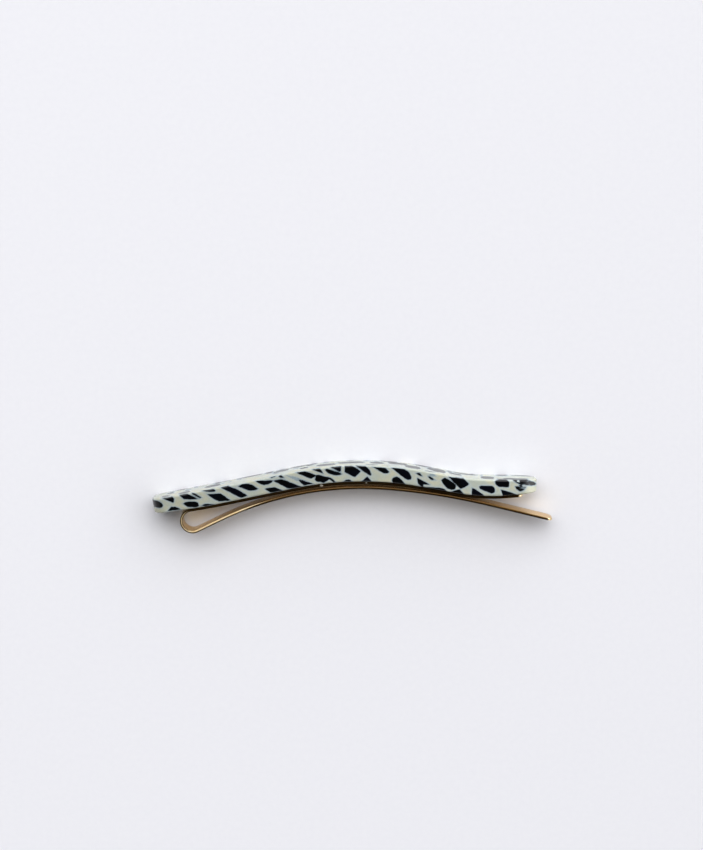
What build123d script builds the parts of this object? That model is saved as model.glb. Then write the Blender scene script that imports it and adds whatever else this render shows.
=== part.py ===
from math import atan2, cos, degrees, radians, sin
import os

from build123d import *

# Hair slide lying on one long side: X from the clip's loop to its open mouth,
# Y from the clip to the outer face of the bar, Z across the width. Millimetres.

# Bar
bar_length = 77.6          # along the underside, as the blank is cut
bar_width = 6.5
bar_thickness = 3.3        # over the arch
bar_end_radius = 2.5       # corners seen from the front
face_edge_radius = 0.35    # polished edge round the outer face
seat_edge_radius = 0.35    # polished edge round the underside

# Bends of the bar: radii on the underside, slopes in degrees
rise_angle = 11.8          # slope up from the loop end
fall_angle = 10.4          # slope down from the arch to the dip
face_tail_angle = -0.5     # slope of the outer face beyond the dip
loop_end_thinning = 3.0    # how much the underside closes on the outer face
open_end_thinning = 6.2
face_ease_angle = 0.9      # how much flatter the outer face starts at the loop end
arch_radius = 66.0
dip_radius = 44.0
thinning_radius = 100.0    # where the thin loop end starts
face_ease_radius = 300.0

# Straight runs of the underside, as shares of the length that the bends leave;
# the rest is the tail at the open end
loop_end_share = 0.2355
rise_share = 0.445
fall_share = 0.187
face_rise_share = 0.75     # of the rise: the part that the outer face runs beside

# Spring strip
strip_width = 4.8
strip_thickness = 0.55
strip_edge_radius = 0.2
strip_corner_radius = 1.3
loop_radius = 2.25         # on the strip's middle line
loop_inset = 7.3           # from the bar's loop end to where the strip leaves it
leg_inset = 2.8            # from the bar's open end to the tip of the fixed leg
free_run = 5.0             # straight start of the free leg, from the loop
free_tip_run = 12.5        # its straight end, beyond the last bend
leg_gap = 0.45             # between the legs over the arch
waist_gap = 0.12           # least distance between them, beyond the arch
easing_angle = 5.6         # last part of the arch, where the free leg eases to the waist
mouth_angle = 3.4          # how much steeper the free leg's end falls than the bar

# Adhesive film between the bar and the fixed leg
bond_gap = 0.15            # from the bar to the strip
film_clearance = 0.02      # kept above and below the film
film_margin = 0.25         # from each long edge of the strip
film_inset = 1.5           # from each end of the bonded length


def direction(angle):
    """Unit vector of a heading in degrees."""
    return Vector(cos(radians(angle)), sin(radians(angle)))


def bend(radius, turn):
    """A path's step round a bend: its length and its turn, positive to the left."""
    return (radius * abs(radians(turn)), turn)


def walk(point, heading, steps):
    """Point and heading at the end of a path of straight and bent steps."""
    for length, turn in steps:
        if turn == 0:
            point = point + direction(heading) * length
        else:
            radius = length / radians(turn)
            side = direction(heading + 90)
            heading += turn
            point = point + (side - direction(heading + 90)) * radius
    return point, heading


def stretch(steps, start, stop):
    """The part of a path's steps between two distances along it."""
    kept = []
    passed = 0
    for length, turn in steps:
        low = max(start - passed, 0)
        high = min(stop - passed, length)
        if high > low:
            kept.append((high - low, turn * (high - low) / length))
        passed += length
    return kept


def backwards(steps):
    """The same path walked from its other end."""
    return [(length, -turn) for length, turn in reversed(steps)]


def beside(steps, offset):
    """The steps of a path that runs beside another, offset to its left."""
    return [(length - offset * radians(turn), turn) for length, turn in steps]


def draw_rail(point, heading, steps, offset):
    """Draws a path shifted to its left by offset, and gives its two ends."""
    start = point + direction(heading + 90) * offset
    end = start
    for length, turn in beside(steps, offset):
        if turn == 0:
            rail = Line(end, end + direction(heading) * length)
        else:
            rail = JernArc(end, direction(heading), abs(length / radians(turn)), turn)
            heading += turn
        end = rail @ 1
    return start, end


def draw_band(point, heading, steps, left, right):
    """Draws the closed outline between two shifts of one path."""
    left_start, left_end = draw_rail(point, heading, steps, left)
    right_start, right_end = draw_rail(point, heading, steps, right)
    Line(left_start, right_start)
    Line(left_end, right_end)


# Path of the underside, from the loop end
underside_start = Vector(0, 0)
underside_heading = rise_angle - loop_end_thinning
thinning_bend = bend(thinning_radius, loop_end_thinning)
arch_bend = bend(arch_radius, -rise_angle - fall_angle)
dip_bend = bend(dip_radius, fall_angle + face_tail_angle + open_end_thinning)
straight = bar_length - thinning_bend[0] - arch_bend[0] - dip_bend[0]
loop_end_run = (loop_end_share * straight, 0)
rise_run = (rise_share * straight, 0)
fall_run = (fall_share * straight, 0)
tail_run = (straight - loop_end_run[0] - rise_run[0] - fall_run[0], 0)
to_arch = [loop_end_run, thinning_bend, rise_run]
to_dip = to_arch + [arch_bend, fall_run]
underside = to_dip + [dip_bend, tail_run]
underside_end, underside_end_heading = walk(underside_start, underside_heading, underside)

# Path of the outer face: square to both end faces
arch_start, arch_heading = walk(underside_start, underside_heading, to_arch)
face_arch_start = arch_start + direction(arch_heading + 90) * bar_thickness
face_rise = (face_rise_share * rise_run[0], 0)
face_ease = bend(face_ease_radius, face_ease_angle)
face_heading = rise_angle - face_ease_angle
ease_start, back_heading = walk(
    face_arch_start, rise_angle + 180, backwards([face_ease, face_rise])
)
face_end_run = (underside_start - ease_start).dot(direction(back_heading))
face_start = ease_start + direction(back_heading) * face_end_run
face_to_tail = [
    (face_end_run, 0),
    face_ease,
    face_rise,
    bend(arch_radius + bar_thickness, -rise_angle - fall_angle),
    fall_run,
    bend(dip_radius - bar_thickness, fall_angle + face_tail_angle),
]
face_tail_start, face_tail_heading = walk(face_start, face_heading, face_to_tail)
face_tail = (underside_end - face_tail_start).dot(direction(face_tail_heading))
face = face_to_tail + [(face_tail, 0)]
face_end = face_tail_start + direction(face_tail_heading) * face_tail

# Fixed leg's middle line, from the loop to its tip
strip_drop = bond_gap + strip_thickness / 2
bonded = stretch(underside, loop_inset, bar_length - leg_inset)
bond_start, bond_heading = walk(
    underside_start, underside_heading, stretch(underside, 0, loop_inset)
)
bond_end, bond_end_heading = walk(bond_start, bond_heading, bonded)
loop_start = bond_start - direction(bond_heading + 90) * strip_drop
loop_centre = loop_start - direction(bond_heading + 90) * loop_radius

# The free leg's first run and first bend bring it alongside the fixed leg at the
# start of the arch. One circle arc does that at just one slope and radius.
leg_drop = strip_drop + strip_thickness + leg_gap
reach = arch_start - direction(arch_heading + 90) * leg_drop - loop_centre
along = reach.dot(direction(arch_heading))
across = reach.dot(direction(arch_heading + 90))
approach_angle = 2 * degrees(atan2(across + loop_radius, along + free_run))
approach_reach = along - free_run * cos(radians(approach_angle))
approach_radius = approach_reach / sin(radians(approach_angle)) - loop_radius

# Loop, turned from the fixed leg's slope to the free leg's
free_rise_angle = arch_heading + approach_angle
loop_turn = bend(loop_radius, 180 + free_rise_angle - bond_heading)
loop_end, loop_end_heading = walk(loop_start, bond_heading + 180, [loop_turn])

# Over the arch the legs bend about one centre. Then a wider bend closes the free leg
# on the fixed one, and opens it to the mouth.
arch_centre = arch_start - direction(arch_heading + 90) * arch_radius
crest_radius = arch_radius - leg_drop
easing_start = easing_angle - fall_angle
easing_radius = crest_radius + (leg_gap - waist_gap) / (1 - cos(radians(easing_angle)))
free_tip_angle = -fall_angle - mouth_angle
free_leg = [
    (free_run, 0),
    bend(approach_radius, -approach_angle),
    bend(crest_radius, easing_start - arch_heading),
    bend(easing_radius, free_tip_angle - easing_start),
    (free_tip_run, 0),
]
free_tip, free_tip_heading = walk(loop_end, free_rise_angle, free_leg)

# The origin is under the middle of the whole slide
lowest = loop_centre.Y - loop_radius - strip_thickness / 2
highest = arch_centre.Y + arch_radius + bar_thickness
middle = Vector(-(face_start.X + free_tip.X) / 2, -(lowest + highest) / 2)
slide_plane = Plane(origin=(middle.X, middle.Y, 0))
strip_plane = slide_plane.offset((bar_width - strip_width) / 2)
film_plane = strip_plane.offset(film_margin)

# Bar of cellulose acetate: a bent strip with rounded ends and polished edges
with BuildPart() as acetate_bar:
    with BuildSketch(slide_plane):
        with BuildLine():
            draw_rail(underside_start, underside_heading, underside, 0)
            draw_rail(face_start, face_heading, face, 0)
            Line(underside_start, face_start)
            Line(underside_end, face_end)
        make_face()
    extrude(amount=bar_width)
    end_faces = acetate_bar.faces().sort_by(Axis.X)
    corners = (end_faces[:1] + end_faces[-1:]).edges().filter_by(Axis.Z, reverse=True)
    fillet(corners, bar_end_radius)
    face_side = acetate_bar.faces().filter_by(lambda side: side.normal_at().Y > 0.7)
    fillet(face_side.edges().filter_by(Axis.Z, reverse=True), face_edge_radius)
    seat_side = acetate_bar.faces().filter_by(lambda side: side.normal_at().Y < -0.7)
    fillet(seat_side.edges().filter_by(Axis.Z, reverse=True), seat_edge_radius)
acetate_bar.part.label = "acetate_bar"

# Spring clip: one strip, from the fixed leg's tip round the loop to the free tip
fixed_leg = beside(bonded, -strip_drop)
strip_path = backwards(fixed_leg) + [loop_turn] + free_leg
fixed_tip = bond_end - direction(bond_end_heading + 90) * strip_drop
tip_centres = [
    strip_plane.from_local_coords(Vector(tip.X, tip.Y, strip_width / 2))
    for tip in (fixed_tip, free_tip)
]
with BuildPart() as spring_clip:
    with BuildSketch(strip_plane):
        with BuildLine():
            draw_band(
                fixed_tip,
                bond_end_heading + 180,
                strip_path,
                strip_thickness / 2,
                -strip_thickness / 2,
            )
        make_face()
    extrude(amount=strip_width)
    tip_faces = ShapeList(
        spring_clip.faces().sort_by_distance(centre)[0] for centre in tip_centres
    )
    fillet(tip_faces.edges().filter_by(Axis.Z, reverse=True), strip_corner_radius)
    side_edges = spring_clip.faces().filter_by(Axis.Z).edges()
    long_edges = side_edges.filter_by(lambda edge: edge.length > 1.01 * strip_thickness)
    fillet(long_edges, strip_edge_radius)
spring_clip.part.label = "spring_clip"

# Film of clear adhesive that holds the fixed leg on the bar
film_path = stretch(underside, loop_inset + film_inset, bar_length - leg_inset - film_inset)
film_start, film_heading = walk(
    underside_start, underside_heading, stretch(underside, 0, loop_inset + film_inset)
)
with BuildPart() as adhesive_film:
    with BuildSketch(film_plane):
        with BuildLine():
            draw_band(
                film_start,
                film_heading,
                film_path,
                -film_clearance,
                film_clearance - bond_gap,
            )
        make_face()
    extrude(amount=strip_width - 2 * film_margin)
adhesive_film.part.label = "adhesive_film"

os.makedirs("parts", exist_ok=True)
export_step(acetate_bar.part, "parts/acetate_bar.step")
export_step(spring_clip.part, "parts/spring_clip.step")
export_step(adhesive_film.part, "parts/adhesive_film.step")
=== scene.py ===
import math
import random

import bmesh
import bpy
import numpy as np
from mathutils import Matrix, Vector


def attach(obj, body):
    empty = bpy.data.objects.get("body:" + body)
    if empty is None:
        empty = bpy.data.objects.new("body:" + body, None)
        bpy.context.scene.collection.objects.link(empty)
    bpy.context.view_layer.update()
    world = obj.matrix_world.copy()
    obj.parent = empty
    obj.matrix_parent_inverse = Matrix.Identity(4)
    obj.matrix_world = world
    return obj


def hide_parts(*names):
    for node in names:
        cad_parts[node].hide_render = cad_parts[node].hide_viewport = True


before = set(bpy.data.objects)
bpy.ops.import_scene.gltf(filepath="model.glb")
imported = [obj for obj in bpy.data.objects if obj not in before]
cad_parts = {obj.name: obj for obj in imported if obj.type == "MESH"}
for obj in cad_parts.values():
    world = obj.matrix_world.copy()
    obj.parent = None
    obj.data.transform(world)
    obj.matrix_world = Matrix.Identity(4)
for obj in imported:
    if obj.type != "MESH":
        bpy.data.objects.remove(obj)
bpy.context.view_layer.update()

MM = 0.001

# Bar, in millimetres and degrees
bar_length = 77.6
bar_width = 6.5
bar_thickness = 3.3
bar_end_radius = 2.5
face_edge_radius = 0.35
seat_edge_radius = 0.35
rise_angle = 11.8
fall_angle = 10.4
face_tail_angle = -0.5
loop_end_thinning = 3.0
open_end_thinning = 6.2
face_ease_angle = 0.9
arch_radius = 66.0
dip_radius = 44.0
thinning_radius = 100.0
face_ease_radius = 300.0
loop_end_share = 0.2355
rise_share = 0.445
fall_share = 0.187
face_rise_share = 0.75

# Spring strip
strip_width = 4.8
strip_thickness = 0.55
strip_edge_radius = 0.2
strip_corner_radius = 1.3
loop_radius = 2.25
loop_inset = 7.3
leg_inset = 2.8
free_run = 5.0
free_tip_run = 12.5
leg_gap = 0.45
waist_gap = 0.12
easing_angle = 5.6
mouth_angle = 3.4

# Adhesive film
bond_gap = 0.15
film_clearance = 0.02
film_margin = 0.25
film_inset = 1.5
film_edge_radius = 0.02

# Meshes: steps along and across in millimetres, turns in degrees, and the cuts across a
# rounded corner or edge
bar_step = 0.2
bar_step_across = 0.26
strip_step = 1.0
strip_step_across = 1.2
strip_turn_step = 1.5
corner_segments = 12
edge_segments = 5
same_place = 1e-4


def direction(angle):
    return np.array([math.cos(math.radians(angle)), math.sin(math.radians(angle))])


def bend(radius, turn):
    """A path's step round a bend: its length and its turn, positive to the left."""
    return (radius * abs(math.radians(turn)), turn)


def follow(point, heading, steps, distances):
    """Points and headings at some distances along a path of straight and bent steps."""
    distances = np.asarray(distances, float)
    points = np.zeros((len(distances), 2))
    headings = np.zeros(len(distances))
    passed = 0.0
    for number, (length, turn) in enumerate(steps):
        low = -np.inf if number == 0 else passed
        high = np.inf if number == len(steps) - 1 else passed + length
        here = (distances >= low) & (distances < high)
        run = distances[here] - passed
        if turn == 0:
            points[here] = point + run[:, None] * direction(heading)
            headings[here] = heading
            point = point + length * direction(heading)
        else:
            radius = length / math.radians(turn)
            centre = point + radius * direction(heading + 90)
            angles = np.radians(heading + 90 + turn * run / length)
            outward = np.stack([np.cos(angles), np.sin(angles)], 1)
            points[here] = centre - radius * outward
            headings[here] = heading + turn * run / length
            heading += turn
            point = centre - radius * direction(heading + 90)
        passed += length
    return points, headings


def path_length(steps):
    return sum(length for length, turn in steps)


def walk(point, heading, steps):
    """Point and heading at the end of a path."""
    points, headings = follow(point, heading, steps, [path_length(steps)])
    return points[0], headings[0]


def stretch(steps, start, stop):
    """The part of a path's steps between two distances along it."""
    kept = []
    passed = 0
    for length, turn in steps:
        low = max(start - passed, 0)
        high = min(stop - passed, length)
        if high > low:
            kept.append((high - low, turn * (high - low) / length))
        passed += length
    return kept


def beside(steps, offset):
    """The steps of a path that runs beside another, offset to its left."""
    return [(length - offset * math.radians(turn), turn) for length, turn in steps]


def backwards(steps):
    return [(length, -turn) for length, turn in reversed(steps)]


# Underside and outer face of the bar
underside_heading = rise_angle - loop_end_thinning
thinning_bend = bend(thinning_radius, loop_end_thinning)
arch_bend = bend(arch_radius, -rise_angle - fall_angle)
dip_bend = bend(dip_radius, fall_angle + face_tail_angle + open_end_thinning)
straight = bar_length - thinning_bend[0] - arch_bend[0] - dip_bend[0]
loop_end_run = (loop_end_share * straight, 0)
rise_run = (rise_share * straight, 0)
fall_run = (fall_share * straight, 0)
tail_run = (straight - loop_end_run[0] - rise_run[0] - fall_run[0], 0)
to_arch = [loop_end_run, thinning_bend, rise_run]
underside = to_arch + [arch_bend, fall_run, dip_bend, tail_run]
origin = np.zeros(2)
underside_end = walk(origin, underside_heading, underside)[0]
arch_start, arch_heading = walk(origin, underside_heading, to_arch)
face_arch_start = arch_start + direction(arch_heading + 90) * bar_thickness
face_rise = (face_rise_share * rise_run[0], 0)
face_ease = bend(face_ease_radius, face_ease_angle)
face_heading = rise_angle - face_ease_angle
ease_start, back_heading = walk(
    face_arch_start, rise_angle + 180, backwards([face_ease, face_rise])
)
face_end_run = -ease_start @ direction(back_heading)
face_start = ease_start + direction(back_heading) * face_end_run
face = [
    (face_end_run, 0),
    face_ease,
    face_rise,
    bend(arch_radius + bar_thickness, -rise_angle - fall_angle),
    fall_run,
    bend(dip_radius - bar_thickness, fall_angle + face_tail_angle),
]
face_tail_start, face_tail_heading = walk(face_start, face_heading, face)
face.append(((underside_end - face_tail_start) @ direction(face_tail_heading), 0))

# Spring strip: fixed leg, loop and free leg
strip_drop = bond_gap + strip_thickness / 2
bonded = stretch(underside, loop_inset, bar_length - leg_inset)
bond_start, bond_heading = walk(
    origin, underside_heading, stretch(underside, 0, loop_inset)
)
bond_end, bond_end_heading = walk(bond_start, bond_heading, bonded)
loop_start = bond_start - direction(bond_heading + 90) * strip_drop
loop_centre = loop_start - direction(bond_heading + 90) * loop_radius
leg_drop = strip_drop + strip_thickness + leg_gap
reach = arch_start - direction(arch_heading + 90) * leg_drop - loop_centre
along = reach @ direction(arch_heading)
across = reach @ direction(arch_heading + 90)
approach = 2 * math.atan2(across + loop_radius, along + free_run)
approach_angle = math.degrees(approach)
approach_radius = (along - free_run * math.cos(approach)) / math.sin(approach) - loop_radius
free_rise_angle = arch_heading + approach_angle
loop_turn = bend(loop_radius, 180 + free_rise_angle - bond_heading)
loop_end = walk(loop_start, bond_heading + 180, [loop_turn])[0]
crest_radius = arch_radius - leg_drop
easing_start = easing_angle - fall_angle
easing_radius = crest_radius + (leg_gap - waist_gap) / (1 - math.cos(math.radians(easing_angle)))
free_tip_angle = -fall_angle - mouth_angle
free_leg = [
    (free_run, 0),
    bend(approach_radius, -approach_angle),
    bend(crest_radius, easing_start - arch_heading),
    bend(easing_radius, free_tip_angle - easing_start),
    (free_tip_run, 0),
]
free_tip = walk(loop_end, free_rise_angle, free_leg)[0]
fixed_leg = beside(bonded, -strip_drop)
fixed_tip = bond_end - direction(bond_end_heading + 90) * strip_drop
strip_path = backwards(fixed_leg) + [loop_turn] + free_leg

# The origin is under the middle of the whole slide
arch_centre = arch_start - direction(rise_angle + 90) * arch_radius
lowest = loop_centre[1] - loop_radius - strip_thickness / 2
highest = arch_centre[1] + arch_radius + bar_thickness
middle = np.array([(face_start[0] + free_tip[0]) / 2, (lowest + highest) / 2])


def linear(code):
    """Linear colour of an sRGB hex value."""
    values = [int(code[i : i + 2], 16) / 255 for i in (1, 3, 5)]
    curve = [v / 12.92 if v <= 0.04045 else ((v + 0.055) / 1.055) ** 2.4 for v in values]
    return (*curve, 1.0)


def new_material(name):
    material = bpy.data.materials.new(name)
    material.use_nodes = True
    material.node_tree.nodes.clear()
    return material, material.node_tree


def node(tree, kind, links=(), inputs=(), **settings):
    """Adds a node with its settings, its sockets' values and the links into it."""
    made = tree.nodes.new(kind)
    for name, value in settings.items():
        setattr(made, name, value)
    for socket, value in dict(inputs).items():
        made.inputs[socket].default_value = value
    for socket, source in dict(links).items():
        tree.links.new(source, made.inputs[socket])
    return made


def round_edges(shape, edges, radius, segments):
    bmesh.ops.bevel(
        shape, geom=edges, offset=radius, segments=segments, profile=0.5,
        affect="EDGES", material=-1,
    )


def straight_strip(length, thickness, width, corner_radius, edge_radii, cuts):
    """A straight strip along X, its thickness along Y and its width along Z, with
    rounded corners seen from the front and rounded edges round its top and its bottom.
    The cuts are places along X, Y and Z."""
    shape = bmesh.new()
    bmesh.ops.create_cube(shape, size=1)
    bmesh.ops.translate(shape, verts=shape.verts, vec=(0.5, 0.5, 0.5))
    bmesh.ops.scale(shape, verts=shape.verts, vec=(length, thickness, width))
    if corner_radius:
        upright = [
            edge for edge in shape.edges
            if abs(edge.verts[0].co.y - edge.verts[1].co.y) > thickness / 2
        ]
        round_edges(shape, upright, corner_radius, corner_segments)
    for level, radius in zip((thickness, 0), edge_radii):
        rim = [
            edge for edge in shape.edges
            if all(abs(vert.co.y - level) < same_place for vert in edge.verts)
        ]
        round_edges(shape, rim, radius, edge_segments)
    for axis, places in enumerate(cuts):
        normal = [0, 0, 0]
        normal[axis] = 1
        for place in places:
            bmesh.ops.bisect_plane(
                shape, geom=shape.verts[:] + shape.edges[:] + shape.faces[:],
                dist=same_place, plane_co=Vector(normal) * place, plane_no=normal,
            )
    return shape


def bent(shape, place):
    """Bends a straight strip: place turns its corner points into points in the slide."""
    straight_points = np.array([vert.co for vert in shape.verts])
    points = place(straight_points)
    for vert, point in zip(shape.verts, points):
        vert.co = point * MM
    return straight_points, points


def add_piece(shape, name, material, stands_for, blank=None, flake=None):
    """Turns a bent shape into a smooth object that rides on the slide. Each corner
    keeps its place on the straight blank, in millimetres, and its depth in a flake."""
    mesh = bpy.data.meshes.new(name)
    bmesh.ops.recalc_face_normals(shape, faces=shape.faces)
    shape.to_mesh(mesh)
    shape.free()
    if blank is not None:
        places = mesh.attributes.new("blank", "FLOAT_VECTOR", "POINT")
        places.data.foreach_set("vector", blank.ravel())
    if flake is not None:
        depths = mesh.attributes.new("flake", "FLOAT", "POINT")
        depths.data.foreach_set("value", flake)
    mesh.polygons.foreach_set("use_smooth", [True] * len(mesh.polygons))
    mesh.materials.append(material)
    piece = bpy.data.objects.new(name, mesh)
    bpy.context.scene.collection.objects.link(piece)
    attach(piece, "root")
    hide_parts(stands_for)


def steps_every(size, step):
    """Places that cut a size into equal steps."""
    count = max(1, round(size / step))
    return [size * number / count for number in range(1, count)]


def path_cuts(steps, straight_step, turn_step):
    """Distances along a path, close together in its bends."""
    cuts = []
    passed = 0
    for length, turn in steps:
        count = max(1, math.ceil(length / straight_step), math.ceil(abs(turn) / turn_step))
        cuts += [passed + length * number / count for number in range(1, count + 1)]
        passed += length
    return cuts[:-1]


def in_slide(points, depth):
    """Points of the side view, set at their depth and moved to the origin."""
    return np.column_stack([points - middle, depth])


def step_ends(steps):
    """Distances along a path to its start and to the end of each step."""
    return np.cumsum([0] + [length for length, turn in steps])


# Bar: its thickness runs from the underside's path to the outer face's. Both paths have
# the bar's ends, the arch and the dip at these step ends, and they are matched there.
matched = [0, 3, 4, 5, 6, 7]
underside_marks = step_ends(underside)[matched]
face_marks = step_ends(face)[matched]


def place_bar(points):
    seat = follow(origin, underside_heading, underside, points[:, 0])[0]
    matching = np.interp(points[:, 0], underside_marks, face_marks)
    front = follow(face_start, face_heading, face, matching)[0]
    share = points[:, 1:2] / bar_thickness
    return in_slide(seat * (1 - share) + front * share, points[:, 2])


bar_cuts = (
    steps_every(bar_length, bar_step),
    steps_every(bar_thickness, bar_step),
    steps_every(bar_width, bar_step_across),
)
bar_shape = straight_strip(
    bar_length, bar_thickness, bar_width, bar_end_radius,
    (face_edge_radius, seat_edge_radius), bar_cuts,
)
bar_blank, bar_points = bent(bar_shape, place_bar)

# Chart of the black flakes on the near side. The corners were read off enlarged crops of
# the photograph. A square is one of the photograph's pixels, 0.2 mm,
# and they count along and up from the corner below the loop end.
# with straight sides: its corners, each as (along, up).
chart_corner = np.array([-39.64, -2.535])
chart_square = np.array([0.2002, 0.2028])
flake_chart = [
    [(-3, 11.4), (4.3, 11.4), (8, 9.2), (9.3, 7.1), (8, 5), (4.3, 4.2), (-3, 4.8)],
    [(7.4, 14.6), (11.3, 16.2), (18.2, 16.2), (20.4, 13.8), (19.4, 9.6), (17, 10.4)],
    [(13.6, 1.4), (17, 5.7), (21.5, 5.7), (26.6, 3), (21.5, 2.2)],
    [(25.5, 17), (26.4, 18.9), (33, 19.4), (37, 17.3), (46, 13.2), (34.3, 12.9), (29.6, 13.3)],
    [(37, 19.4), (40, 19.5), (48.4, 15), (46.4, 14.1), (40.6, 16.8)],
    [(28.8, 8.7), (31.7, 10.5), (40.6, 11.1), (44, 9.8), (45.2, 7.1), (43.2, 5.2), (34.3, 5.2)],
    [(48, 21.7), (54.7, 23.6), (59.8, 23.6), (62.2, 21.7), (59.8, 20.6), (54.7, 20.6)],
    [(47, 6.8), (51, 8.7), (58, 8.4), (68, 6.6), (58, 5.8)],
    [(52.5, 18.4), (66.8, 19.1), (70.6, 16.5), (76.8, 12.2), (64.9, 10.7), (61.1, 12.6)],
    [(66.5, 25), (73.8, 26.8), (84, 22.9), (94.4, 16.6), (86.4, 14.7), (71.5, 22.2)],
    [(83.6, 26), (89, 28.7), (94, 28.9), (98, 27.8), (104.5, 23.8), (101, 22.1), (95, 21.9)],
    [(101, 31.6), (118.8, 32.2), (118, 30.3), (114.5, 28.1), (110, 27.3), (105.9, 28.6)],
    [(113.5, 36.6), (122.4, 36.6), (118, 34.2)],
    [(124.2, 36.5), (126.8, 37.9), (131, 34.3), (126.3, 34.8)],
    [(110.4, 23.7), (119.2, 25.4), (122.7, 24.8), (129, 21.8), (124.8, 20), (116.1, 20)],
    [(118, 32), (125.8, 33.2), (129.4, 33.2), (147.6, 25.8), (144, 24.2), (133.4, 24), (124.8, 28.6)],
    [(144.4, 32.7), (149, 32.2), (159.4, 28.8), (150, 27), (146.8, 29.6)],
    [(141.4, 39.9), (151, 41.5), (163.4, 37), (157, 33.8), (155.2, 34.1), (148, 37.2)],
    [(161.7, 37.6), (164.9, 38), (175, 34.7), (175, 33), (170, 29.8), (162.6, 30.8), (160.9, 32.4)],
    [(169, 36.2), (176.6, 35.2), (178.4, 33.6), (177, 32.8), (170, 34.2)],
    [(175.4, 34.9), (178.2, 34), (183.2, 29.2), (180.6, 29.2), (175.6, 33.2)],
    [(157.2, 43), (166.5, 44), (169.8, 38.4), (161, 41.7)],
    [(170.2, 43), (172.8, 44), (185.6, 40), (189, 38.7), (184.3, 37.2), (180.2, 37.2), (174.4, 39.1)],
    [(175, 45.8), (187, 46.3), (187.2, 40.2)],
    [(190.7, 46.5), (197, 46.8), (201.3, 45.3), (206.8, 41.2), (201.2, 35.5), (199, 35.9), (190.7, 40.3)],
    [(201.8, 46.8), (211.3, 46.5), (215.2, 43.3), (217.5, 38), (216.4, 36.8), (213.7, 38), (208, 42.1)],
    [(189, 30.6), (192.4, 33.1), (196, 33.1), (198.8, 30.4)],
    [(205.4, 29), (213.3, 36.2), (219.6, 29)],
    [(218, 45.8), (227.7, 45), (231.8, 44.6), (235.4, 40.6), (233.4, 39), (229.6, 39.2), (224.3, 42)],
    [(237.2, 44.9), (250, 43.6), (254.8, 40.5), (257.3, 35.8), (256.9, 33), (253, 32.6), (249.2, 35.2)],
    [(237.6, 32), (238.3, 34.2), (241.7, 36.1), (245.7, 34.7), (252.6, 27), (239.2, 29.4)],
    [(261, 39.3), (265.5, 39.7), (269.2, 35.6), (264.5, 37.3)],
    [(262.9, 35), (269.5, 31.6), (276.4, 27.5), (270, 27.9), (264, 28.4)],
    [(263.2, 30), (268.8, 30), (269.8, 23.6), (266.8, 26)],
    [(273.6, 36.5), (275.7, 36.2), (281.6, 32.5), (277.4, 32.5), (274.6, 34.7)],
    [(268, 25.6), (276, 25.5), (285, 24.9), (290.8, 23.4), (294, 20), (290, 19), (270, 22)],
    [
        (287, 32.5), (290.5, 35), (294.5, 33.2), (301.8, 27.3), (301.4, 23.5), (298, 22.4),
        (293.5, 23.8), (289, 28.5),
    ],
    [(293.4, 35.8), (309.2, 34.3), (315.3, 28.2), (311.6, 25.7), (306.4, 23.3), (304.2, 25.6)],
    [(296.4, 20.6), (303, 22.9), (306, 23.1), (311, 17), (303, 17)],
    [(317.9, 25.4), (320.4, 23.8), (327, 20.8), (331, 15.6), (317.8, 15.6)],
    [
        (325, 26), (327.5, 26.9), (338.9, 26.6), (340.9, 23.5), (340.6, 20), (337, 18.9),
        (333, 20.6), (325.8, 23.7),
    ],
    [(340.7, 31.8), (346, 33.4), (351.9, 32.8), (355.2, 30.6), (354.8, 25.3), (344.5, 25.6), (341.6, 27.8)],
    [(346.5, 23.3), (353.6, 21.2), (363.4, 17.4), (349.2, 16)],
]

# Flakes just under the skin, which the cream veils: how far they come through, corners
veiled_flakes = [
    (0.055, [(356.4, 34), (373.6, 34.2), (379, 30.2), (388, 26.9), (379, 26), (370, 27.2), (363, 29)]),
    (0.05, [(360.8, 26.4), (372.8, 25.6), (370.4, 22.5), (365.7, 21), (362.2, 23.3)]),
    (0.05, [(364.8, 30), (368.4, 29), (368.4, 24), (365.4, 24)]),
    (-0.05, [(134, 36.6), (141, 35.6), (150.4, 32.3), (143, 31.6)]),
    (-0.04, [(275.6, 38.2), (279.4, 38.5), (281.6, 36.6), (278, 36.4)]),
]

# Flakes that show on the outer face only, listed one by one: middle along the chart in squares,
# then depth below the near side, length and width in millimetres
face_flakes = [
    (11, 1.4, 1.6, 1.6), (30, 1.6, 2.2, 1.8), (58, 3.2, 3.0, 2.4), (96, 5.6, 4.2, 1.2),
    (128, 4.4, 2.4, 1.9), (145, 5.3, 3.6, 1.1), (150, 2.6, 1.6, 1.4), (172, 2.9, 3.8, 2.2),
    (197, 3.7, 5.2, 2.0), (218, 0.9, 2.0, 0.9), (223, 3.4, 2.8, 2.0), (235, 6.0, 3.2, 1.2),
    (244, 4.3, 3.8, 2.2), (259, 2.4, 3.1, 3.0), (270, 5.8, 3.2, 1.3), (276, 0.7, 1.8, 0.8),
    (285, 3.4, 2.8, 3.6), (302, 3.0, 2.4, 1.6), (312, 4.8, 4.4, 1.2), (334, 2.6, 2.6, 3.0),
    (356, 1.6, 2.6, 1.8), (371, 5.6, 4.2, 0.8), (379.5, 5.2, 3.0, 1.1),
]

# How deep the flakes go, in millimetres
flake_reach = (1.6, 3.8)       # least and most of the chart's flakes
shallow_reach = 0.14           # of those that start between the bar's end and this square,
first_deep_flake = 230         # which don't show on the outer face
veiled_reach = 2.2
face_flake_depth = 0.9
flake_lean = 0.35              # most that a flake leans along the bar, as a slope
flake_rounding = 0.045         # of a flake's corners
clear_spot = (364.2, 31.3)     # a hole in the flake at the open end, in chart squares
clear_spot_radius = 0.26
clear_spot_depth = 0.8
far_outside = -2.0             # depth where no flake is near
highest_power = 60             # of e, so that distances far from a flake stay numbers

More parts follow.
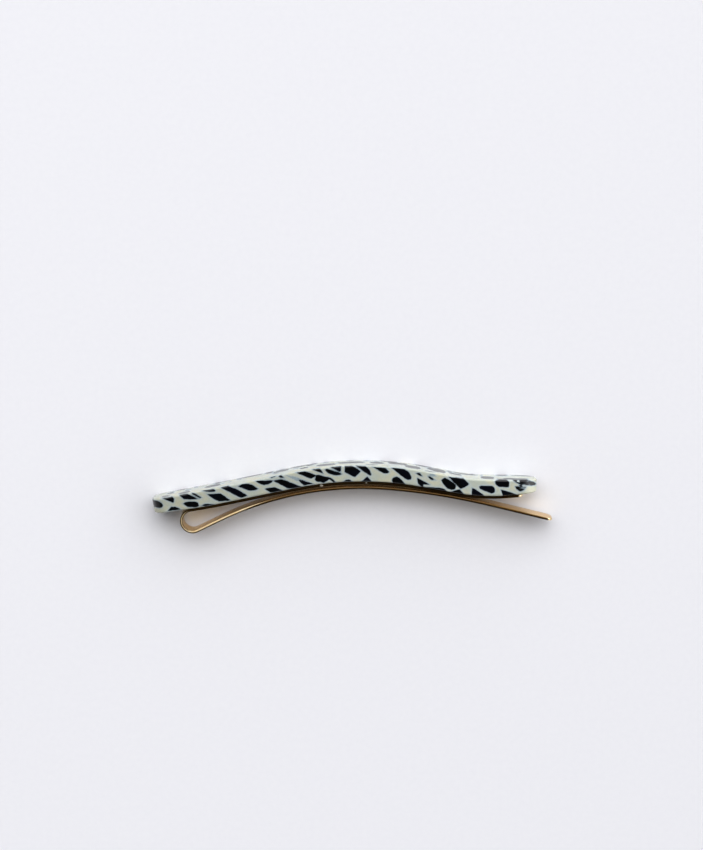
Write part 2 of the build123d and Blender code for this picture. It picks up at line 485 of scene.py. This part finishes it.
# The far half isn't in the photograph: flakes of the same kinds, strewn by chance within
# these limits
strewn_flakes = 150
strewn_height = (-0.1, 2.7)
strewn_depth = (3.4, 6.8)      # below the near side
strewn_turn = (-42, -18)
strewn_length = (1.6, 4.2)
strewn_thickness = (0.6, 1.6)
strewn_width = (1.2, 3.0)
chance_seed = 7


def depth_in_corners(points, corners, rounding):
    """How deep points lie inside a flake with straight sides, less near its corners."""
    corners = np.array(corners, float) * chart_square
    ahead = np.roll(corners, -1, 0) - corners
    outward = np.column_stack([-ahead[:, 1], ahead[:, 0]])
    outward /= np.linalg.norm(outward, axis=1)[:, None]
    beyond = points @ outward.T - (corners * outward).sum(1)
    powers = np.clip(beyond / rounding, -highest_power, highest_power)
    return -rounding * np.log(np.exp(powers).sum(1))


def depth_in_pebble(points, middle_point, sizes):
    """How deep points lie inside a flake between a block and an oval."""
    half = np.array(sizes) / 2
    return (1 - np.linalg.norm((points - middle_point) / half, 3, axis=1)) * half.min()


def flake_depths(blank, points):
    """Depth of each corner point inside the nearest black flake, below zero outside."""
    chart_points = points[:, :2] - chart_corner
    below_side = bar_width - points[:, 2]
    deepest = np.full(len(points), far_outside)
    chance = random.Random(chance_seed)
    for corners in flake_chart:
        reach = chance.uniform(*flake_reach)
        if 0 < corners[0][0] < first_deep_flake:
            reach = shallow_reach
        lean = chance.uniform(-flake_lean, flake_lean)
        leaning = chart_points - np.outer(below_side, (lean, 0))
        flake = depth_in_corners(leaning, corners, flake_rounding)
        deepest = np.maximum(deepest, np.minimum(flake, reach - below_side))
    for cover, corners in veiled_flakes:
        flake = np.minimum(depth_in_corners(chart_points, corners, flake_rounding), cover)
        deepest = np.maximum(deepest, np.minimum(flake, veiled_reach - below_side))
    from_spot = chart_points - np.array(clear_spot) * chart_square
    hole = np.hypot(*from_spot.T) - clear_spot_radius
    cleared = np.minimum(deepest, hole)
    deepest = np.where(below_side < clear_spot_depth, cleared, deepest)
    below_face = bar_thickness - blank[:, 1]
    on_face = np.column_stack([chart_points[:, 0], below_side])
    for along, depth, length, width in face_flakes:
        flake = depth_in_pebble(on_face, (along * chart_square[0], depth), (length, width))
        deepest = np.maximum(deepest, np.minimum(flake, face_flake_depth - below_face))
    for number in range(strewn_flakes):
        along = bar_length * (number + chance.uniform(0, 1)) / strewn_flakes
        spot = (along, chance.uniform(*strewn_height), chance.uniform(*strewn_depth))
        turn = math.radians(chance.uniform(*strewn_turn))
        offset = np.column_stack([blank[:, :2], below_side]) - spot
        turned = np.column_stack([
            offset[:, 0] * math.cos(turn) + offset[:, 1] * math.sin(turn),
            offset[:, 1] * math.cos(turn) - offset[:, 0] * math.sin(turn),
            offset[:, 2],
        ])
        limits = (strewn_length, strewn_thickness, strewn_width)
        sizes = [chance.uniform(low, high) for low, high in limits]
        deepest = np.maximum(deepest, depth_in_pebble(turned, (0, 0, 0), sizes))
    return deepest


bar_flakes = flake_depths(bar_blank, bar_points)


def strip_placer(start, heading, steps, lift, margin):
    """A function that lays a straight strip along a path: lift is from the path to the
    strip's underside, and margin from the bar's far side to the strip's edge."""
    def place(points):
        line, headings = follow(start, heading, steps, points[:, 0])
        angles = np.radians(headings + 90)
        outward = np.column_stack([np.cos(angles), np.sin(angles)])
        return in_slide(line + outward * (points[:, 1:2] + lift), points[:, 2] + margin)

    return place


# Clip, from the fixed leg's tip round the loop to the free tip
strip_margin = (bar_width - strip_width) / 2
strip_cuts = (
    path_cuts(strip_path, strip_step, strip_turn_step), [],
    steps_every(strip_width, strip_step_across),
)
strip_shape = straight_strip(
    path_length(strip_path), strip_thickness, strip_width, strip_corner_radius,
    (strip_edge_radius, strip_edge_radius), strip_cuts,
)
place_strip = strip_placer(
    fixed_tip, bond_end_heading + 180, strip_path, -strip_thickness / 2, strip_margin,
)
strip_blank = bent(strip_shape, place_strip)[0]

# Film between the bar and the fixed leg
film_path = stretch(underside, loop_inset + film_inset, bar_length - leg_inset - film_inset)
film_start, film_heading = walk(
    origin, underside_heading, stretch(underside, 0, loop_inset + film_inset)
)
film_shape = straight_strip(
    path_length(film_path), bond_gap - 2 * film_clearance, strip_width - 2 * film_margin, 0,
    (film_edge_radius, film_edge_radius),
    (path_cuts(film_path, strip_step, strip_turn_step), [], []),
)
place_film = strip_placer(
    film_start, film_heading, film_path, film_clearance - bond_gap,
    strip_margin + film_margin,
)
bent(film_shape, place_film)

# Beads of adhesive squeezed out on the joint: place along the underside, and radius
joint_beads = [(34.05, 0.3), (43.15, 0.18)]
bead_drop = 0.42               # from the underside to the middle of a bead
bead_stretch = (1.1, 0.8, 0.7)
for along, radius in joint_beads:
    spot, heading = follow(origin, underside_heading, underside, [along])
    spot = spot - direction(heading[0] + 90) * bead_drop
    centre = in_slide(spot, [(bar_width + strip_width) / 2])[0]
    bead = bmesh.ops.create_uvsphere(film_shape, u_segments=20, v_segments=12, radius=radius * MM)
    bmesh.ops.scale(film_shape, verts=bead["verts"], vec=bead_stretch)
    bmesh.ops.translate(film_shape, verts=bead["verts"], vec=Vector(centre) * MM)

# Cellulose acetate, pressed from cream and black flakes, tumbled and buffed. It gives a
# deep soft gloss, cream that light enters a little, paler at the open end and bluish over
# buried black, and black that is opaque. The cream's clouds are about 3.6 mm wide, the
# waves left by the buffing 0.9 mm, and the mottle 0.2 mm, as coarse as it needs to show.
# Sockets of a mix: 0 is the share, 6 and 7 the two colours, 2 and 3 the two numbers.
acetate, tree = new_material("buffed_mosaic_cellulose_acetate")
blank = node(tree, "ShaderNodeAttribute", attribute_name="blank").outputs["Vector"]
depth = node(tree, "ShaderNodeAttribute", attribute_name="flake").outputs["Fac"]
grain = node(tree, "ShaderNodeTexNoise", {"Vector": blank}, {
    "Scale": 1.1, "Detail": 3.0, "Roughness": 0.55,
})
wobble = node(tree, "ShaderNodeMapRange", {"Value": grain.outputs["Fac"]}, {
    "From Min": 0.3, "From Max": 0.7, "To Min": -0.05, "To Max": 0.05,
})
edge = node(tree, "ShaderNodeMath", {0: depth, 1: wobble.outputs["Result"]}, operation="ADD")
black = node(tree, "ShaderNodeMapRange", {"Value": edge.outputs[0]}, {
    "From Min": -0.04, "From Max": 0.05,
}, interpolation_type="SMOOTHSTEP")
buried = node(tree, "ShaderNodeMapRange", {"Value": edge.outputs[0]}, {
    "From Min": -0.55, "From Max": 0.0, "To Max": 0.75,
}, interpolation_type="SMOOTHSTEP")
clouds = node(tree, "ShaderNodeTexNoise", {"Vector": blank}, {
    "Scale": 0.28, "Detail": 2.5, "Roughness": 0.5,
})
cloud_share = node(tree, "ShaderNodeMapRange", {"Value": clouds.outputs["Fac"]}, {
    "From Min": 0.38, "From Max": 0.62,
}, interpolation_type="SMOOTHSTEP")
cream = node(tree, "ShaderNodeMix", {0: cloud_share.outputs["Result"]}, {
    6: linear("#B1B19B"), 7: linear("#A6ACA0"),
}, data_type="RGBA")
hazed = node(tree, "ShaderNodeMix", {0: buried.outputs["Result"], 6: cream.outputs[2]}, {
    7: linear("#A6AFAE"),
}, data_type="RGBA")
veil = node(tree, "ShaderNodeMapRange", {"Value": edge.outputs[0]}, {
    "From Min": -0.15, "From Max": -0.04, "To Max": 0.65,
}, interpolation_type="SMOOTHSTEP")
veiled = node(tree, "ShaderNodeMix", {0: veil.outputs["Result"], 6: hazed.outputs[2]}, {
    7: linear("#6C8190"),
}, data_type="RGBA")
mottle = node(tree, "ShaderNodeTexNoise", {"Vector": blank}, {
    "Scale": 4.5, "Detail": 2.0, "Roughness": 0.6,
})
shade = node(tree, "ShaderNodeMapRange", {"Value": mottle.outputs["Fac"]}, {
    "From Min": 0.3, "From Max": 0.7, "To Min": 0.93, "To Max": 1.07,
})
along_bar = node(tree, "ShaderNodeSeparateXYZ", {"Vector": blank}).outputs["X"]
paling = node(tree, "ShaderNodeMapRange", {"Value": along_bar}, {
    "From Min": 0.0, "From Max": bar_length, "To Min": 0.9, "To Max": 1.16,
})
toning = node(tree, "ShaderNodeMath", {
    0: shade.outputs["Result"], 1: paling.outputs["Result"],
}, operation="MULTIPLY")
mottled = node(tree, "ShaderNodeVectorMath", {
    0: veiled.outputs[2], "Scale": toning.outputs[0],
}, operation="SCALE")
ink = node(tree, "ShaderNodeMix", {0: cloud_share.outputs["Result"]}, {
    6: linear("#020303"), 7: linear("#03040B"),
}, data_type="RGBA")
colour = node(tree, "ShaderNodeMix", {
    0: black.outputs["Result"], 6: mottled.outputs["Vector"], 7: ink.outputs[2],
}, data_type="RGBA")
glow_share = node(tree, "ShaderNodeMapRange", {"Value": black.outputs["Result"]}, {
    "To Min": 0.18, "To Max": 0.0,
})
waves = node(tree, "ShaderNodeBump", {"Height": grain.outputs["Fac"]}, {
    "Strength": 0.5, "Distance": 0.000012,
})
buff = node(tree, "ShaderNodeMapRange", {"Value": mottle.outputs["Fac"]}, {
    "From Min": 0.3, "From Max": 0.7, "To Min": 0.13, "To Max": 0.22,
})
shader = node(tree, "ShaderNodeBsdfPrincipled", {
    "Base Color": colour.outputs[2], "Subsurface Weight": glow_share.outputs["Result"],
    "Roughness": buff.outputs["Result"], "Normal": waves.outputs["Normal"],
}, {
    "IOR": 1.48, "Subsurface Radius": (1.0, 1.0, 0.8), "Subsurface Scale": 0.0006,
})
node(tree, "ShaderNodeOutputMaterial", {"Surface": shader.outputs["BSDF"]})

# Rolled spring steel with a pale gilt plating. Fine lines along the strip blur its
# reflections. The slit edges carry painted dark reflection and shade: the flat is left dull
# gold at the loop and beside it, and painted brown further along both legs, and the rounding
# is painted dark brown on the strip's outer side, and on its inner side as far as the free
# leg. The lines are 0.09 mm apart and about 4 mm long, coarser than real rolling lines so
# that they show, and the tone of the plating changes over about 2 mm. The limits are in
# millimetres, each from where a look starts to where it is full. Those along the strip count
# from the start of the free leg, and are below zero on the loop and the fixed leg.
# Limits of the painted dark reflection and shade on the slit edges
free_leg_painted_dark = (8.0, 20.0)
fixed_leg_painted_dark = (-6.0, -9.0)
inner_side_painted_dark = (0.0, -3.0)
outer_rounding = (0.26, 0.18)       # above the outer face
inner_rounding = (0.18, 0.12)       # below the inner face
slit_edge_band = (0.19, 0.13)       # in from the edge
painted_dark_blur = 0.025
free_leg_overlap = 0.085            # how far the flat's brown runs onto the rounding
fixed_leg_overlap = 0.06
glossy_overlap = 0.04               # with that much of it, the brown is glossier
gilt, tree = new_material("pale_gilt_plated_rolled_spring_steel")
blank = node(tree, "ShaderNodeAttribute", attribute_name="blank").outputs["Vector"]
drawn_out = node(tree, "ShaderNodeMapping", {"Vector": blank}, {"Scale": (0.12, 5.0, 5.0)})
lines = node(tree, "ShaderNodeTexNoise", {"Vector": drawn_out.outputs["Vector"]}, {
    "Scale": 2.2, "Detail": 3.0, "Roughness": 0.6,
})
patina = node(tree, "ShaderNodeTexNoise", {"Vector": blank}, {
    "Scale": 0.45, "Detail": 3.0, "Roughness": 0.55,
})
tone = node(tree, "ShaderNodeMapRange", {"Value": patina.outputs["Fac"]}, {
    "From Min": 0.35, "From Max": 0.68,
}, interpolation_type="SMOOTHSTEP")
plating = node(tree, "ShaderNodeMix", {0: tone.outputs["Result"]}, {
    6: linear("#EBD7B0"), 7: linear("#E2C898"),
}, data_type="RGBA")
on_blank = node(tree, "ShaderNodeSeparateXYZ", {"Vector": blank})
from_middle = node(tree, "ShaderNodeMath", {0: on_blank.outputs["Z"]}, {
    1: strip_width / 2,
}, operation="SUBTRACT")
to_edge = node(tree, "ShaderNodeMath", {0: from_middle.outputs[0]}, operation="ABSOLUTE")
from_loop = node(tree, "ShaderNodeMath", {0: on_blank.outputs["X"]}, {
    1: path_length(fixed_leg) + loop_turn[0],
}, operation="SUBTRACT")
on_free_leg = node(tree, "ShaderNodeMapRange", {"Value": from_loop.outputs[0]}, {
    "From Min": free_leg_painted_dark[0], "From Max": free_leg_painted_dark[1],
    "To Min": 0.0, "To Max": free_leg_overlap,
}, interpolation_type="SMOOTHSTEP")
on_fixed_leg = node(tree, "ShaderNodeMapRange", {"Value": from_loop.outputs[0]}, {
    "From Min": fixed_leg_painted_dark[0], "From Max": fixed_leg_painted_dark[1],
    "To Min": 0.0, "To Max": fixed_leg_overlap,
})
spread = node(tree, "ShaderNodeMath", {
    0: on_free_leg.outputs["Result"], 1: on_fixed_leg.outputs["Result"],
}, operation="ADD")
towards_edge = node(tree, "ShaderNodeMath", {
    0: to_edge.outputs[0], 1: spread.outputs[0],
}, operation="ADD")
slit_painted_dark_share = node(tree, "ShaderNodeMapRange", {"Value": towards_edge.outputs[0]}, {
    "From Min": strip_width / 2, "From Max": strip_width / 2 + painted_dark_blur,
})
outer_side = node(tree, "ShaderNodeMapRange", {"Value": on_blank.outputs["Y"]}, {
    "From Min": outer_rounding[0], "From Max": outer_rounding[1],
})
inner_side = node(tree, "ShaderNodeMapRange", {"Value": on_blank.outputs["Y"]}, {
    "From Min": strip_thickness - inner_rounding[0],
    "From Max": strip_thickness - inner_rounding[1],
})
before_free_leg = node(tree, "ShaderNodeMapRange", {"Value": from_loop.outputs[0]}, {
    "From Min": inner_side_painted_dark[0], "From Max": inner_side_painted_dark[1],
})
inner_share = node(tree, "ShaderNodeMath", {
    0: inner_side.outputs["Result"], 1: before_free_leg.outputs["Result"],
}, operation="MULTIPLY")
sides = node(tree, "ShaderNodeMath", {
    0: outer_side.outputs["Result"], 1: inner_share.outputs[0],
}, operation="MAXIMUM")
rim = node(tree, "ShaderNodeMapRange", {"Value": to_edge.outputs[0]}, {
    "From Min": strip_width / 2 - slit_edge_band[0],
    "From Max": strip_width / 2 - slit_edge_band[1],
})
rounding_painted_dark_share = node(tree, "ShaderNodeMath", {
    0: sides.outputs[0], 1: rim.outputs["Result"],
}, operation="MULTIPLY")
# Painted dark reflection and shade on the flat of the slit edges, brown #644B2C
slit_painted_dark = node(tree, "ShaderNodeMix", {
    0: slit_painted_dark_share.outputs["Result"], 6: plating.outputs[2],
}, {7: linear("#644B2C")}, data_type="RGBA")
# Painted dark reflection and shade on the roundings of the slit edges, dark brown #3E2E18: on the outer
# side all along, and on the inner side up to the free leg
rounding_painted_dark = node(tree, "ShaderNodeMix", {
    0: rounding_painted_dark_share.outputs[0], 6: slit_painted_dark.outputs[2],
}, {7: linear("#3E2E18")}, data_type="RGBA")
face_gloss = node(tree, "ShaderNodeMapRange", {"Value": lines.outputs["Fac"]}, {
    "From Min": 0.3, "From Max": 0.7, "To Min": 0.16, "To Max": 0.27,
})
slit_gloss = node(tree, "ShaderNodeMapRange", {"Value": spread.outputs[0]}, {
    "From Min": 0.0, "From Max": glossy_overlap, "To Min": 0.55, "To Max": 0.28,
})
gloss = node(tree, "ShaderNodeMix", {
    0: rim.outputs["Result"], 2: face_gloss.outputs["Result"], 3: slit_gloss.outputs["Result"],
}, data_type="FLOAT")
scratches = node(tree, "ShaderNodeBump", {"Height": lines.outputs["Fac"]}, {
    "Strength": 0.35, "Distance": 0.000006,
})
shader = node(tree, "ShaderNodeBsdfPrincipled", {
    "Base Color": rounding_painted_dark.outputs[2], "Roughness": gloss.outputs[0],
    "Normal": scratches.outputs["Normal"],
}, {"Metallic": 1.0, "Specular Tint": linear("#F6E6D4")})
node(tree, "ShaderNodeOutputMaterial", {"Surface": shader.outputs["BSDF"]})

# Clear adhesive, cured: glossy, faintly amber, with a slightly uneven skin whose swells
# are 0.4 mm wide
adhesive, tree = new_material("cured_clear_epoxy_adhesive")
place = node(tree, "ShaderNodeTexCoord").outputs["Object"]
skin = node(tree, "ShaderNodeTexNoise", {"Vector": place}, {
    "Scale": 2500.0, "Detail": 2.0, "Roughness": 0.5,
})
amber = node(tree, "ShaderNodeMix", {0: skin.outputs["Fac"]}, {
    6: linear("#D2C5AF"), 7: linear("#EBE3D4"),
}, data_type="RGBA")
uneven = node(tree, "ShaderNodeBump", {"Height": skin.outputs["Fac"]}, {
    "Strength": 0.3, "Distance": 0.00002,
})
shader = node(tree, "ShaderNodeBsdfPrincipled", {
    "Base Color": amber.outputs[2], "Normal": uneven.outputs["Normal"],
}, {"Roughness": 0.12, "IOR": 1.5, "Transmission Weight": 0.5})
node(tree, "ShaderNodeOutputMaterial", {"Surface": shader.outputs["BSDF"]})

add_piece(
    bar_shape, "mosaic_bar", acetate, "acetate_bar", bar_blank, bar_flakes,
)
add_piece(
    strip_shape, "gilt_clip", gilt, "spring_clip", strip_blank,
)
add_piece(film_shape, "bond_film", adhesive, "adhesive_film")

# Floor: matt white board, 6 m across so that its edge is never seen. Its faint tooth is
# about 1 mm wide, coarser than real board so that it shows.
floor_reach = 3
floor_shape = bmesh.new()
bmesh.ops.create_grid(floor_shape, x_segments=1, y_segments=1, size=floor_reach)
floor_mesh = bpy.data.meshes.new("floor")
floor_shape.to_mesh(floor_mesh)
floor_shape.free()
board, tree = new_material("matt_white_board")
place = node(tree, "ShaderNodeTexCoord").outputs["Object"]
tooth = node(tree, "ShaderNodeTexNoise", {"Vector": place}, {
    "Scale": 900.0, "Detail": 3.0, "Roughness": 0.6,
})
white = node(tree, "ShaderNodeMix", {0: tooth.outputs["Fac"]}, {
    6: linear("#E4E4E8"), 7: linear("#E9E9EC"),
}, data_type="RGBA")
rough = node(tree, "ShaderNodeBump", {"Height": tooth.outputs["Fac"]}, {
    "Strength": 0.1, "Distance": 0.00002,
})
shader = node(tree, "ShaderNodeBsdfPrincipled", {
    "Base Color": white.outputs[2], "Normal": rough.outputs["Normal"],
}, {"Roughness": 0.85, "Specular IOR Level": 0.2})
node(tree, "ShaderNodeOutputMaterial", {"Surface": shader.outputs["BSDF"]})
floor_mesh.materials.append(board)
floor = bpy.data.objects.new("floor", floor_mesh)
bpy.context.scene.collection.objects.link(floor)

# Camera: 500 mm away, tipped 9 degrees from straight down
view_tilt = math.radians(9)
view_distance = 500 * MM
aim = Vector((-0.1, 15.2, 6.5)) * MM
back = Vector((0, math.sin(view_tilt), math.cos(view_tilt)))
lens = bpy.data.cameras.new("camera")
lens.sensor_fit = "HORIZONTAL"
lens.sensor_width = 36
lens.lens = 128.5
lens.clip_start = 0.01
camera = bpy.data.objects.new("camera", lens)
camera.location = aim + back * view_distance
camera.rotation_euler = (-view_tilt, 0, 0)
bpy.context.scene.collection.objects.link(camera)
bpy.context.scene.camera = camera

# Light: one large soft box beyond the outer face. The walls are brighter on that side and
# toward the open end, and it is dim overhead, a little towards the clip's side.
lamp = bpy.data.lights.new("window_soft_box", "AREA")
lamp.shape = "RECTANGLE"
lamp.size = 1.8
lamp.size_y = 1.1
lamp.energy = 10.7
lamp.color = linear("#FFFFFF")[:3]
soft_box = bpy.data.objects.new("window_soft_box", lamp)
soft_box.location = (-0.3, 0.85, 1.08)
soft_box.rotation_euler = soft_box.location.to_track_quat("Z", "Y").to_euler()
bpy.context.scene.collection.objects.link(soft_box)

dim_direction = (0, -0.34, 0.94)
sky = bpy.data.worlds.new("studio")
sky.use_nodes = True
sky.node_tree.nodes.clear()
tree = sky.node_tree
heading = node(tree, "ShaderNodeTexCoord").outputs["Generated"]
split = node(tree, "ShaderNodeSeparateXYZ", {"Vector": heading})
overhead = node(tree, "ShaderNodeVectorMath", {0: heading}, {
    1: dim_direction,
}, operation="DOT_PRODUCT")
wall = node(tree, "ShaderNodeMapRange", {"Value": split.outputs["Y"]}, {
    "From Min": -0.9, "From Max": 0.3, "To Min": 0.53, "To Max": 1.74,
}, interpolation_type="SMOOTHSTEP")
ceiling = node(tree, "ShaderNodeMapRange", {"Value": overhead.outputs["Value"]}, {
    "From Min": 0.5, "From Max": 0.86, "To Min": 1.0, "To Max": 0.025,
}, interpolation_type="SMOOTHSTEP")
sideways = node(tree, "ShaderNodeMapRange", {"Value": split.outputs["X"]}, {
    "From Min": -0.9, "From Max": 0.9, "To Min": 0.52, "To Max": 1.7,
}, interpolation_type="SMOOTHSTEP")
walls = node(tree, "ShaderNodeMath", {
    0: wall.outputs["Result"], 1: sideways.outputs["Result"],
}, operation="MULTIPLY")
strength = node(tree, "ShaderNodeMath", {
    0: walls.outputs[0], 1: ceiling.outputs["Result"],
}, operation="MULTIPLY")
glow = node(tree, "ShaderNodeBackground", {"Strength": strength.outputs[0]}, {
    "Color": linear("#F5F5F8"),
})
node(tree, "ShaderNodeOutputWorld", {"Surface": glow.outputs["Background"]})
bpy.context.scene.world = sky
bpy.context.scene.view_settings.view_transform = "Standard"
